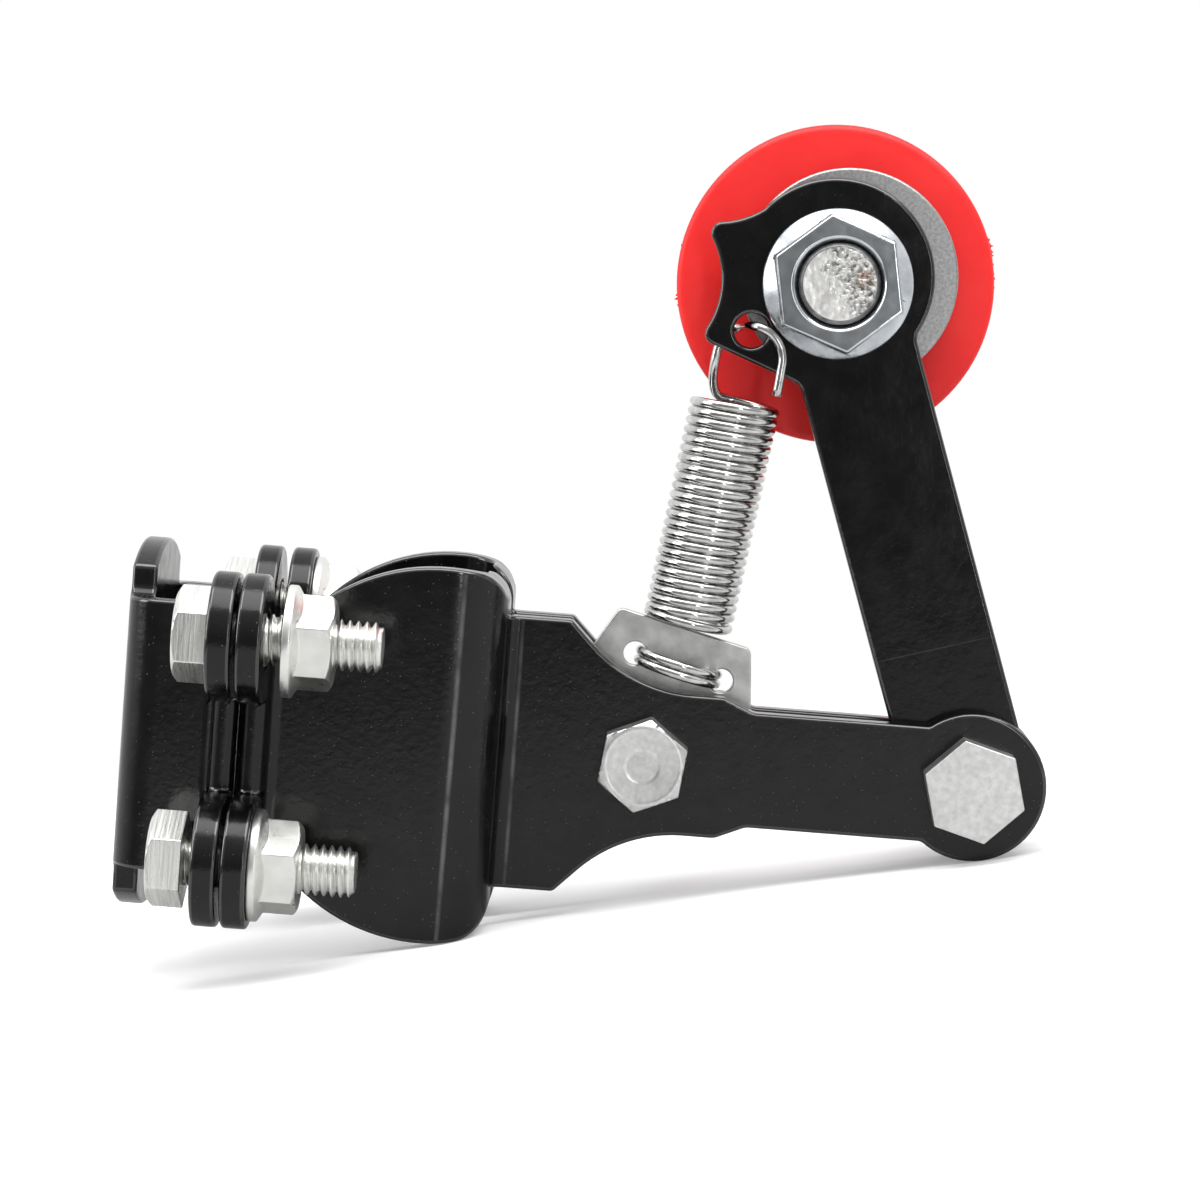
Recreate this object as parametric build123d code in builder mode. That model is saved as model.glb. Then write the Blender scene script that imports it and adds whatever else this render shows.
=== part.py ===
from build123d import *
import os
from math import cos, pi, radians, sin, sqrt, tan, tanh

# Spring-loaded roller chain tensioner with a tube clamp, in millimetres.
# The origin is the centre of the tube space, +Z runs along the tube and +X towards the pivot.
# The near side, with the axle nut, is -Y. The far side, with the roller, is +Y.

# Folded sheet of the bracket plates and the clamp strap
sheet = 3.0
bend_inner = 1.5
shoulder_inner = 4.0
tube_half_x = 19.6
tube_half_y = 12.5
disc_margin = 10.0
disc_setback = 7.6
shoulder_round = 4.2
root_half = 15.0
strap_wall_half = 16.2
strap_corner_radius = 1.5
web_margin = 0.2
ear_gap = 0.5
far_ear_setback = 0.8
ear_plane_x = -7.8
ear_radius = 7.6
ear_root_flat = 0.5
clamp_bolt_reach = 11.5
clamp_bolt_z = 13.25

# Arm plates of the bracket
plate_gap = 4.0
flank_half = 16.6
flank_length = 7.6
flank_corner_radius = 1.0
slope_angle = 45.0
waist_radius = 17.6
boss_half = 8.6
boss_reach = 9.3
step_reach = 13.0
beam_half = 7.0
step_corner_radius = 2.0
anchor_x = 40.0
pivot_pitch = 40.0
pivot_end_radius = 9.0

# Lever arm
arm_thickness = 3.0
arm_width = 15.0
arm_lean = 19.4
arm_length = 63.0
arm_head_radius = 12.0
arm_head_offset = 0.8
neck_radius = 2.0
horn_low = (-17.9, -1.9)
horn_bay = (-13.4, 4.2)
horn_high = (-14.0, 11.8)
horn_brow = (-8.2, 10.7)
horn_brow_reach = 3.4
horn_root_drop = 10.6
horn_corner_radius = 1.4
hook_hole = (-11.5, -2.7)
hook_hole_diameter = 4.2

# M6 fasteners of the clamp and the spring anchor
m6 = 6.0
m6_flats = 10.0
m6_head = 4.2
m6_nut = 5.7
m6_flange = 13.2
m6_flange_edge = 1.0
m6_hole_play = 0.3
clamp_bolt_length = 20.0
anchor_bolt_length = 18.0
thread_clearance = 0.05
hex_sides = 6
crown_share = 0.96
crown_angle = 30.0
tip_chamfer = 0.5
nut_turn = 8.0
loose_head = 1.3
loose_nut = 2.2

# Pivot shoulder bolt
pivot_diameter = 8.0
pivot_clearance = 0.05
pivot_flats = 11.0
pivot_head = 4.5
pivot_turn = 14.6
shoulder_excess = 0.2
side_play = 0.05
thrust_washer_diameter = 14.0
pivot_washer_diameter = 12.0
pivot_washer_thickness = 1.6
thread_stub = 1.4

# Spring anchor plate
anchor_thickness = 1.6
anchor_tilt = 13.5
anchor_bolt_turn = -7.0
anchor_top = 16.8
anchor_top_half = 8.4
anchor_wide_half = 11.2
anchor_wide_height = 8.0
anchor_foot_radius = 6.6
anchor_corner_radius = 1.0
anchor_washer_diameter = 12.0
wire_hole_height = 12.0
wire_hole_shift = 0.6
wire_hole_half = 5.5
wire_hole_diameter = 2.9

# Extension spring
wire_diameter = 1.1
coil_diameter = 9.9
coil_pitch = 1.16
coil_segments = 14
wire_sides = 6
tail_turn = 0.6
first_coil = 1.5
end_pitch = 1.12
seat_gap = 0.12
hook_reach = 8.0
hook_turn_back = 0.2
hook_radius = 4.0
hook_shift = 0.5
hook_lift = 0.6
hook_tail = 3.7
hook_tail_spread = 0.15
hook_stand_off = 2.7
hook_dive = 0.9
hook_cross = 0.45
hook_bend = 2.0
leg_stations = 7
loop_stations = 22

# Roller on its axle, M10
axle = 10.0
axle_flats = 16.0
axle_head = 6.4
axle_play = 0.2
axle_nut_flats = 14.4
axle_nut_height = 8.0
axle_flange = 18.3
axle_flange_edge = 1.6
axle_nut_turn = 10.6
axle_tip_recess = 0.2
washer_diameter = 26.5
washer_play = 1.8
washer_hang_angle = 33.0
washer_thickness = 2.5
head_washer_diameter = 20.0
head_washer_thickness = 2.0
sleeve_wall = 1.8
bush_clearance = 0.05
bush_wall = 2.0
bush_press = 0.02
bush_flange_diameter = 21.0
bush_flange = 1.6
bush_depth = 6.0
end_play = 0.4
roller_diameter = 39.0
roller_width = 13.5
roller_rim = 2.2
rim_radius = 0.9
groove_diameter = 34.0
groove_flat = 4.0
groove_radius = 2.5

# Worked-out places
disc_radius = tube_half_y + disc_margin
clamp_bolt_y = tube_half_y + clamp_bolt_reach
bend_mid = bend_inner + sheet / 2
shoulder_mid = shoulder_inner + sheet / 2
web_half = tube_half_y - bend_inner - web_margin
cheek_mid_y = tube_half_y + sheet / 2
cheek_outer_y = tube_half_y + sheet
ear_flat_y = cheek_outer_y + bend_inner
ear_root_y = ear_flat_y + ear_root_flat
bracket_ear_x = ear_plane_x + ear_gap / 2
strap_ear_x = ear_plane_x - ear_gap / 2 - sheet
wall_mid_x = tube_half_x + sheet / 2
shoulder_outer_x = tube_half_x + sheet
plate_mid_y = (plate_gap + sheet) / 2
plate_outer_y = plate_gap / 2 + sheet
pivot_x = anchor_x + pivot_pitch
cheek_centre_x = shoulder_outer_x - disc_setback
wall_split_y = (cheek_mid_y - shoulder_mid + plate_mid_y + bend_mid) / 2
flank_end_x = shoulder_outer_x + flank_length
m6_hole = m6 + 2 * m6_hole_play
pivot_bore = pivot_diameter + 2 * pivot_clearance
axle_x = pivot_x - arm_length * sin(radians(arm_lean))
axle_z = arm_length * cos(radians(arm_lean))
washer_y = arm_thickness / 2
sleeve_y = washer_y + washer_thickness
sleeve_diameter = axle + 2 * axle_play + 2 * sleeve_wall
sleeve_length = roller_width + 2 * (bush_flange + end_play)
head_washer_y = sleeve_y + sleeve_length
axle_seat_y = head_washer_y + head_washer_thickness
axle_bolt_length = axle_seat_y + arm_thickness / 2 + axle_nut_height - axle_tip_recess
bush_bore = sleeve_diameter + 2 * bush_clearance
bush_diameter = bush_bore + 2 * bush_wall
roller_near_y = sleeve_y + end_play + bush_flange
roller_far_y = roller_near_y + roller_width
beyond = 2 * (clamp_bolt_y + ear_radius)

arm_plane = Plane(
    origin=(pivot_x, 0, 0),
    x_dir=(cos(radians(arm_lean)), 0, sin(radians(arm_lean))),
    z_dir=(0, -1, 0),
)
anchor_plane = Plane(
    origin=(anchor_x, 0, 0),
    x_dir=(cos(radians(anchor_tilt)), 0, -sin(radians(anchor_tilt))),
    z_dir=(0, -1, 0),
)


def across(x, y, z, direction, turn=0.0):
    """Plane square to the Y axis: its normal is +Y or -Y, its local x is +X turned towards +Z."""
    local_x = (cos(radians(turn)), 0, sin(radians(turn)))
    return Plane(origin=(x, y, z), x_dir=local_x, z_dir=(0, direction, 0))


def along(x, y, z, turn=0.0):
    """Plane square to the X axis: its normal is +X, its local x is +Y turned towards +Z."""
    local_x = (0, cos(radians(turn)), sin(radians(turn)))
    return Plane(origin=(x, y, z), x_dir=local_x, z_dir=(1, 0, 0))


def hex_prism(seat, flats, height):
    """Hexagon on the seat plane with its outer corners turned off, as on a bolt head or a nut."""
    corner = flats / sqrt(3)
    crown = corner - crown_share * flats / 2
    with BuildPart() as prism:
        with BuildSketch(seat):
            Circle(corner)
        extrude(amount=height)
        top = prism.faces().sort_by(Axis(seat.origin, seat.z_dir * height))[-1]
        chamfer(top.edges(), length=crown, length2=crown * tan(radians(crown_angle)), reference=top)
        with BuildSketch(seat):
            RegularPolygon(flats / 2, hex_sides, major_radius=False, rotation=180 / hex_sides)
        extrude(amount=height, mode=Mode.INTERSECT)
    return prism.part


def hex_bolt(seat, flats, head, diameter, length):
    """Bolt whose head stands behind the seat plane and whose shank runs along the plane's normal."""
    with BuildPart() as bolt:
        add(hex_prism(seat, flats, -head))
        with BuildSketch(seat):
            Circle(diameter / 2)
        extrude(amount=length)
        tip = bolt.faces().sort_by(Axis(seat.origin, seat.z_dir))[-1]
        chamfer(tip.edges(), length=tip_chamfer)
    return bolt.part


def flange_nut(seat, flats, height, diameter, flange, edge):
    """Hex nut on a round flange with a sloping skirt, with a plain bore in place of its thread."""
    with BuildPart() as nut:
        add(hex_prism(seat, flats, height))
        with BuildSketch(seat):
            Circle(flange / 2)
        extrude(amount=edge)
        with BuildSketch(seat.offset(edge)):
            Circle(flange / 2)
        with BuildSketch(seat.offset(2 * edge)):
            Circle(flats / 2)
        loft()
        with BuildSketch(seat):
            Circle(diameter / 2 + thread_clearance)
        extrude(amount=height, mode=Mode.SUBTRACT)
    return nut.part


def ring(seat, outer, inner, thickness):
    """Flat washer or tube that stands on the seat plane."""
    with BuildPart() as washer:
        with BuildSketch(seat):
            Circle(outer / 2)
            Circle(inner / 2, mode=Mode.SUBTRACT)
        extrude(amount=thickness)
    return washer.part


def ears(face_x, sides, wall_half):
    """Clamp ears on the given sides, each a rounded lug with its bolt hole."""
    spots = [(side * clamp_bolt_y, level * clamp_bolt_z) for side in sides for level in (-1, 1)]
    inner_z = clamp_bolt_z - ear_radius
    with BuildPart() as lugs:
        with BuildSketch(Plane.YZ.offset(face_x)):
            with Locations(*spots):
                Circle(ear_radius)
            for side in sides:
                for level in (-1, 1):
                    lug_root = (side * (ear_flat_y + clamp_bolt_y) / 2, level * (inner_z + wall_half) / 2)
                    with Locations(lug_root):
                        Rectangle(clamp_bolt_y - ear_flat_y, wall_half - inner_z)
            Rectangle(2 * ear_flat_y, beyond, mode=Mode.SUBTRACT)
            with Locations(*spots):
                Circle(m6_hole / 2, mode=Mode.SUBTRACT)
        extrude(amount=sheet)
    return lugs.part


os.makedirs("parts", exist_ok=True)

# Bracket plates: ears, cheek, shoulder and arm plate of one folded sheet, one to each side.
# The far plate's ears are folded a little further back than the near plate's.
slope = radians(slope_angle)
slope_length = (flank_half - boss_half - waist_radius * (1 - cos(slope))) / sin(slope)
ear_faces = {"near": bracket_ear_x, "far": bracket_ear_x + far_ear_setback}
for side, side_sign in (("near", -1), ("far", 1)):
    ear_x = ear_faces[side]
    ear_mid_x = ear_x + sheet / 2
    cheek_y = side_sign * cheek_mid_y
    plate_y = side_sign * plate_mid_y
    split_y = side_sign * wall_split_y
    with BuildPart() as bracket_plate:
        with BuildSketch(Plane.XY):
            with BuildLine():
                FilletPolyline(
                    (ear_mid_x, side_sign * ear_root_y),
                    (ear_mid_x, cheek_y),
                    (0, cheek_y),
                    radius=bend_mid,
                )
                FilletPolyline(
                    (0, cheek_y),
                    (wall_mid_x, cheek_y),
                    (wall_mid_x, split_y),
                    radius=shoulder_mid,
                )
                FilletPolyline(
                    (wall_mid_x, split_y),
                    (wall_mid_x, plate_y),
                    (pivot_x + 2 * pivot_end_radius, plate_y),
                    radius=bend_mid,
                )
                offset(amount=sheet / 2, side=Side.BOTH)
            make_face()
        extrude(amount=2 * disc_radius, both=True)
        with BuildSketch(Plane.XZ) as outline:
            with Locations((cheek_centre_x, 0)):
                Circle(disc_radius)
            with Locations((shoulder_outer_x, 0)):
                Rectangle(beyond, beyond, align=(Align.MAX, Align.CENTER), mode=Mode.INTERSECT)
            fillet(outline.vertices().group_by(Axis.X)[-1], shoulder_round)
            with Locations((ear_x, 0)):
                Rectangle(cheek_centre_x - ear_x, 2 * root_half, align=(Align.MIN, Align.CENTER))
            with BuildLine():
                flank = Polyline((cheek_centre_x, 0), (cheek_centre_x, flank_half), (flank_end_x, flank_half))
                ramp = PolarLine(flank @ 1, slope_length, -slope_angle)
                waist = JernArc(ramp @ 1, ramp % 1, waist_radius, slope_angle)
                Polyline(
                    waist @ 1,
                    (anchor_x + boss_reach, boss_half),
                    (anchor_x + step_reach, beam_half),
                    (pivot_x, beam_half),
                    (pivot_x, 0),
                    (cheek_centre_x, 0),
                )
            upper_half = make_face()
            mirror(upper_half, about=Plane.XZ)
            for level in (-1, 1):
                flank_corner = (flank_end_x, level * flank_half)
                fillet(outline.vertices().sort_by_distance(flank_corner)[0], flank_corner_radius)
                for corner in ((boss_reach, boss_half), (step_reach, beam_half)):
                    step_corner = (anchor_x + corner[0], level * corner[1])
                    fillet(outline.vertices().sort_by_distance(step_corner)[0], step_corner_radius)
            with Locations((pivot_x, 0)):
                Circle(pivot_end_radius)
                Circle(pivot_bore / 2, mode=Mode.SUBTRACT)
            with Locations((anchor_x, 0)):
                Circle(m6_hole / 2, mode=Mode.SUBTRACT)
        extrude(amount=beyond, both=True, mode=Mode.INTERSECT)
        add(ears(ear_x, (side_sign,), root_half))
    bracket_plate.part.label = f"bracket_plate_{side}"
    export_step(bracket_plate.part, f"parts/bracket_plate_{side}.step")

# Clamp strap: a folded U with a round-ended web and four ears
with BuildPart() as clamp_strap:
    with BuildSketch(Plane.XY):
        with BuildLine():
            FilletPolyline(
                (strap_ear_x + sheet / 2, -ear_root_y),
                (strap_ear_x + sheet / 2, -cheek_mid_y),
                (-wall_mid_x, -cheek_mid_y),
                (-wall_mid_x, cheek_mid_y),
                (strap_ear_x + sheet / 2, cheek_mid_y),
                (strap_ear_x + sheet / 2, ear_root_y),
                radius=bend_mid,
            )
            offset(amount=sheet / 2, side=Side.BOTH)
        make_face()
    extrude(amount=2 * disc_radius, both=True)
    with BuildSketch(Plane.YZ) as web:
        Circle(disc_radius)
        Rectangle(2 * web_half, beyond, mode=Mode.INTERSECT)
        Rectangle(beyond, 2 * strap_wall_half)
        for side in (-1, 1):
            for level in (-1, 1):
                web_foot = (side * web_half, level * strap_wall_half)
                fillet(web.vertices().sort_by_distance(web_foot)[0], strap_corner_radius)
    extrude(amount=beyond, both=True, mode=Mode.INTERSECT)
    add(ears(strap_ear_x, (-1, 1), strap_wall_half))
clamp_strap.part.label = "clamp_strap"
export_step(clamp_strap.part, "parts/clamp_strap.step")

# Clamp bolts and nuts: the near pair is not yet run home
for side, side_sign in (("near", -1), ("far", 1)):
    for level, level_sign in (("upper", 1), ("lower", -1)):
        bolt_y = side_sign * clamp_bolt_y
        bolt_z = level_sign * clamp_bolt_z
        head_gap = loose_head if (side, level) == ("near", "lower") else 0
        nut_gap = loose_nut if (side, level) == ("near", "upper") else 0
        bolt_seat = along(strap_ear_x - head_gap, bolt_y, bolt_z)
        clamp_bolt = hex_bolt(bolt_seat, m6_flats, m6_head, m6, clamp_bolt_length)
        clamp_bolt.label = f"clamp_bolt_{side}_{level}"
        export_step(clamp_bolt, f"parts/{clamp_bolt.label}.step")
        nut_seat = along(ear_faces[side] + sheet + nut_gap, bolt_y, bolt_z, nut_turn)
        clamp_nut = flange_nut(nut_seat, m6_flats, m6_nut, m6, m6_flange, m6_flange_edge)
        clamp_nut.label = f"clamp_nut_{side}_{level}"
        export_step(clamp_nut, f"parts/{clamp_nut.label}.step")

# Spring anchor plate in the gap between the bracket plates, with its bolt, nut and two washers
with BuildPart() as anchor_plate:
    with BuildSketch(anchor_plane) as anchor_outline:
        with BuildLine() as anchor_edge:
            Polyline(
                (anchor_top_half, anchor_top),
                (-anchor_top_half, anchor_top),
                (-anchor_wide_half, anchor_wide_height),
                (anchor_wide_half, anchor_wide_height),
                close=True,
            )
            CenterArc((0, 0), anchor_foot_radius, 0, 360)
        make_hull(anchor_edge.edges())
        for half_width, height in ((anchor_top_half, anchor_top), (anchor_wide_half, anchor_wide_height)):
            for hand in (-1, 1):
                plate_corner = (hand * half_width, height)
                fillet(anchor_outline.vertices().sort_by_distance(plate_corner)[0], anchor_corner_radius)
        Circle(m6_hole / 2, mode=Mode.SUBTRACT)
        for hand in (-1, 1):
            with Locations((wire_hole_shift + hand * wire_hole_half, wire_hole_height)):
                Circle(wire_hole_diameter / 2, mode=Mode.SUBTRACT)
    extrude(amount=anchor_thickness / 2, both=True)
anchor_plate.part.label = "anchor_plate"
export_step(anchor_plate.part, "parts/anchor_plate.step")

anchor_washer_thickness = (plate_gap - anchor_thickness) / 2
for side, side_sign in (("near", -1), ("far", 1)):
    washer_seat = across(anchor_x, side_sign * anchor_thickness / 2, 0, side_sign)
    anchor_washer = ring(washer_seat, anchor_washer_diameter, m6_hole, anchor_washer_thickness)
    anchor_washer.label = f"anchor_washer_{side}"
    export_step(anchor_washer, f"parts/{anchor_washer.label}.step")

anchor_seat = across(anchor_x, -plate_outer_y, 0, 1, anchor_bolt_turn)
anchor_bolt = hex_bolt(anchor_seat, m6_flats, m6_head, m6, anchor_bolt_length)
anchor_bolt.label = "anchor_bolt"
export_step(anchor_bolt, "parts/anchor_bolt.step")

anchor_nut_seat = across(anchor_x, plate_outer_y, 0, 1, nut_turn)
anchor_nut = flange_nut(anchor_nut_seat, m6_flats, m6_nut, m6, m6_flange, m6_flange_edge)
anchor_nut.label = "anchor_nut"
export_step(anchor_nut, "parts/anchor_nut.step")

# Pivot shoulder bolt with its nut, washer and the two thin thrust washers beside the arm
shoulder_length = 2 * plate_outer_y + shoulder_excess
pivot_seat = across(pivot_x, -plate_outer_y, 0, 1, pivot_turn)
with BuildPart() as pivot_bolt:
    add(hex_bolt(pivot_seat, pivot_flats, pivot_head, pivot_diameter, shoulder_length))
    with BuildSketch(pivot_seat):
        Circle(m6 / 2)
    extrude(amount=shoulder_length + pivot_washer_thickness + m6_nut + thread_stub)
    chamfer(pivot_bolt.faces().sort_by(Axis.Y)[-1].edges(), length=tip_chamfer)
pivot_bolt.part.label = "pivot_bolt"
export_step(pivot_bolt.part, "parts/pivot_bolt.step")

pivot_washer_y = shoulder_length - plate_outer_y
pivot_washer_seat = across(pivot_x, pivot_washer_y, 0, 1)
pivot_washer = ring(pivot_washer_seat, pivot_washer_diameter, m6_hole, pivot_washer_thickness)
pivot_washer.label = "pivot_washer"
export_step(pivot_washer, "parts/pivot_washer.step")

pivot_nut_seat = across(pivot_x, pivot_washer_y + pivot_washer_thickness, 0, 1, nut_turn)
pivot_nut = flange_nut(pivot_nut_seat, m6_flats, m6_nut, m6, m6_flange, m6_flange_edge)
pivot_nut.label = "pivot_nut"
export_step(pivot_nut, "parts/pivot_nut.step")

thrust_washer_thickness = (plate_gap - arm_thickness) / 2 - side_play
for side, side_sign in (("near", -1), ("far", 1)):
    thrust_seat = across(pivot_x, side_sign * plate_gap / 2, 0, -side_sign)
    thrust_washer = ring(thrust_seat, thrust_washer_diameter, pivot_bore, thrust_washer_thickness)
    thrust_washer.label = f"thrust_washer_{side}"
    export_step(thrust_washer, f"parts/{thrust_washer.label}.step")

# Lever arm: a bar with a round head and a horned tab that takes the spring's hook
head_height = arm_length + arm_head_offset
with BuildPart() as lever_arm:
    with BuildSketch(arm_plane) as arm_outline:
        Circle(arm_width / 2)
        with Locations((0, arm_length / 2)):
            Rectangle(arm_width, arm_length)
        with Locations((0, head_height)):
            Circle(arm_head_radius)
        neck = (arm_width / 2, head_height - sqrt(arm_head_radius ** 2 - (arm_width / 2) ** 2))
        fillet(arm_outline.vertices().sort_by_distance(neck)[0], neck_radius)
        brow_height = head_height + sqrt(arm_head_radius ** 2 - horn_brow_reach ** 2)
        tab_root = (-arm_width / 2, arm_length - horn_root_drop)
        low_tip = (horn_low[0], arm_length + horn_low[1])
        high_tip = (horn_high[0], arm_length + horn_high[1])
        with BuildLine():
            Line(tab_root, low_tip)
            ThreePointArc(low_tip, (horn_bay[0], arm_length + horn_bay[1]), high_tip)
            brow = ThreePointArc(
                high_tip,
                (horn_brow[0], arm_length + horn_brow[1]),
                (-horn_brow_reach, brow_height),
            )
            Polyline(brow @ 1, (0, arm_length), (0, arm_length - horn_root_drop), tab_root)
        make_face()
        for tab_corner in (low_tip, high_tip):
            fillet(arm_outline.vertices().sort_by_distance(tab_corner)[0], horn_corner_radius)
        fillet(arm_outline.vertices().sort_by_distance(tab_root)[0], neck_radius)
        Circle(pivot_bore / 2, mode=Mode.SUBTRACT)
        with Locations((0, arm_length)):
            Circle(axle / 2 + axle_play, mode=Mode.SUBTRACT)
        with Locations((hook_hole[0], arm_length + hook_hole[1])):
            Circle(hook_hole_diameter / 2, mode=Mode.SUBTRACT)
    extrude(amount=arm_thickness / 2, both=True)
lever_arm.part.label = "lever_arm"
export_step(lever_arm.part, "parts/lever_arm.step")

# Extension spring: two end turns in the anchor plate's holes, close coils and an open hook.
# Each point is given by its distance right of the spring's axis, behind it, and up along it.
spring_foot = anchor_plane.from_local_coords(Vector(wire_hole_shift, wire_hole_height, 0))
spring_eye = arm_plane.from_local_coords(Vector(hook_hole[0], arm_length + hook_hole[1], 0))
spring_up = (spring_eye - spring_foot).normalized()
spring_right = Vector(spring_up.Z, 0, -spring_up.X)
spring_back = Vector(0, 1, 0)
spring_length = (spring_eye - spring_foot).length
coil_radius = coil_diameter / 2
coil_start = anchor_top - wire_hole_height + wire_diameter / 2 + seat_gap
coil_turns = int((spring_length - coil_start - hook_reach) / coil_pitch) - hook_turn_back
end_lean = tan(radians(anchor_tilt)) - spring_up.X / spring_up.Z


def ramp_up(share):
    """Smooth rise from 0 to 1 as the share goes from 0 to 1."""
    held = min(max(share, 0), 1)
    return held * held * (3 - 2 * held)


def coil_point(turn):
    """Point on the turns: turn 0 is at the right-hand hole, and the close coils follow the end turns."""
    right = coil_radius * cos(2 * pi * turn)
    back = coil_radius * sin(2 * pi * turn)
    up = end_pitch * (ramp_up(2 * turn) - 1 / 2)
    up += (coil_start - end_pitch / 2) * ramp_up(2 * (turn - first_coil) + 1)
    up += coil_pitch * max(turn - first_coil, 0)
    up -= end_lean * right * (1 - ramp_up(turn - first_coil))
    return Vector(right, back, up)


def hook_point(angle):
    """Point on the hook's round, from its left leg behind the arm to its right leg in front."""
    right = hook_shift - hook_radius * cos(angle)
    back = -hook_stand_off * tanh((right + hook_cross) / hook_dive)
    up = spring_length + hook_lift - hook_radius * (1 - sin(angle))
    return Vector(right, back, up)


last_turn = first_coil + coil_turns
coil_steps = round((last_turn + tail_turn) * coil_segments)
wire = [coil_point(-tail_turn + (last_turn + tail_turn) * i / coil_steps) for i in range(coil_steps + 1)]
leg_way = (wire[-1] - wire[-2]).normalized()
leg_top = hook_point(0)
leg = Bezier(wire[-1], wire[-1] + leg_way * hook_bend, leg_top - Vector(0, 0, hook_bend), leg_top)
wire += [leg @ (i / leg_stations) for i in range(1, leg_stations)]
wire += [hook_point(pi * i / loop_stations) for i in range(loop_stations + 1)]
wire.append(wire[-1] + Vector(hook_tail_spread, 0, -hook_tail))
path = [spring_foot + spring_right * p.X + spring_back * p.Y + spring_up * p.Z for p in wire]

with BuildPart() as extension_spring:
    section_x = spring_up
    for i, point in enumerate(path):
        way = (path[min(i + 1, len(path) - 1)] - path[max(i - 1, 0)]).normalized()
        section_x = (section_x - way * section_x.dot(way)).normalized()
        with BuildSketch(Plane(origin=point, x_dir=section_x, z_dir=way)):
            RegularPolygon(wire_diameter / 2, wire_sides)
    loft(ruled=True)
extension_spring.part.label = "extension_spring"
export_step(extension_spring.part, "parts/extension_spring.step")

# Axle bolt and nut, the large washer that hangs off centre on it, the head washer and the sleeve
axle_seat = across(axle_x, axle_seat_y, axle_z, -1)
axle_bolt = hex_bolt(axle_seat, axle_flats, axle_head, axle, axle_bolt_length)
axle_bolt.label = "axle_bolt"
export_step(axle_bolt, "parts/axle_bolt.step")

axle_nut_seat = across(axle_x, -arm_thickness / 2, axle_z, -1, axle_nut_turn)
axle_nut = flange_nut(axle_nut_seat, axle_nut_flats, axle_nut_height, axle, axle_flange, axle_flange_edge)
axle_nut.label = "axle_nut"
export_step(axle_nut, "parts/axle_nut.step")

washer_shift = washer_play - thread_clearance
washer_x = axle_x + washer_shift * cos(radians(washer_hang_angle))
washer_z = axle_z + washer_shift * sin(radians(washer_hang_angle))
axle_washer_near = ring(
    across(washer_x, washer_y, washer_z, 1),
    washer_diameter,
    axle + 2 * washer_play,
    washer_thickness,
)
axle_washer_near.label = "axle_washer_near"
export_step(axle_washer_near, "parts/axle_washer_near.step")

axle_washer_far = ring(
    across(axle_x, head_washer_y, axle_z, 1),
    head_washer_diameter,
    axle + 2 * axle_play,
    head_washer_thickness,
)
axle_washer_far.label = "axle_washer_far"
export_step(axle_washer_far, "parts/axle_washer_far.step")

axle_sleeve = ring(
    across(axle_x, sleeve_y, axle_z, 1),
    sleeve_diameter,
    axle + 2 * axle_play,
    sleeve_length,
)
axle_sleeve.label = "axle_sleeve"
export_step(axle_sleeve, "parts/axle_sleeve.step")

# Roller with a shallow chain groove, and the two flanged bushes pressed into it
roller_mid_y = (roller_near_y + roller_far_y) / 2
roller_bore = bush_diameter + 2 * bush_press
with BuildPart() as roller:
    with BuildSketch(Plane(origin=(axle_x, 0, axle_z), x_dir=(0, 1, 0), z_dir=(1, 0, 0))) as section:
        with BuildLine():
            Polyline(
                (roller_near_y, roller_bore / 2),
                (roller_near_y, roller_diameter / 2),
                (roller_near_y + roller_rim, roller_diameter / 2),
                (roller_mid_y - groove_flat / 2, groove_diameter / 2),
                (roller_mid_y + groove_flat / 2, groove_diameter / 2),
                (roller_far_y - roller_rim, roller_diameter / 2),
                (roller_far_y, roller_diameter / 2),
                (roller_far_y, roller_bore / 2),
                close=True,
            )
        make_face()
        fillet(section.vertices().group_by(Axis.Y)[-1], rim_radius)
        groove_bottom = groove_diameter / 2
        fillet(section.vertices().filter_by_position(Axis.Y, groove_bottom, groove_bottom), groove_radius)
    revolve(axis=Axis((axle_x, 0, axle_z), (0, 1, 0)))
roller.part.label = "roller"
export_step(roller.part, "parts/roller.step")

for side, face_y, inwards in (("near", roller_near_y, 1), ("far", roller_far_y, -1)):
    bush_seat = across(axle_x, face_y, axle_z, inwards)
    with BuildPart() as roller_bush:
        with BuildSketch(bush_seat):
            Circle(bush_flange_diameter / 2)
        extrude(amount=-bush_flange)
        with BuildSketch(bush_seat):
            Circle(bush_diameter / 2)
        extrude(amount=bush_depth)
        with BuildSketch(bush_seat.offset(-bush_flange)):
            Circle(bush_bore / 2)
        extrude(amount=bush_flange + bush_depth, mode=Mode.SUBTRACT)
    roller_bush.part.label = f"roller_bush_{side}"
    export_step(roller_bush.part, f"parts/roller_bush_{side}.step")
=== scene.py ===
from math import ceil, cos, pi, radians, sin, tan, tanh

import bmesh
import bpy
from mathutils import Matrix, Vector


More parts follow.
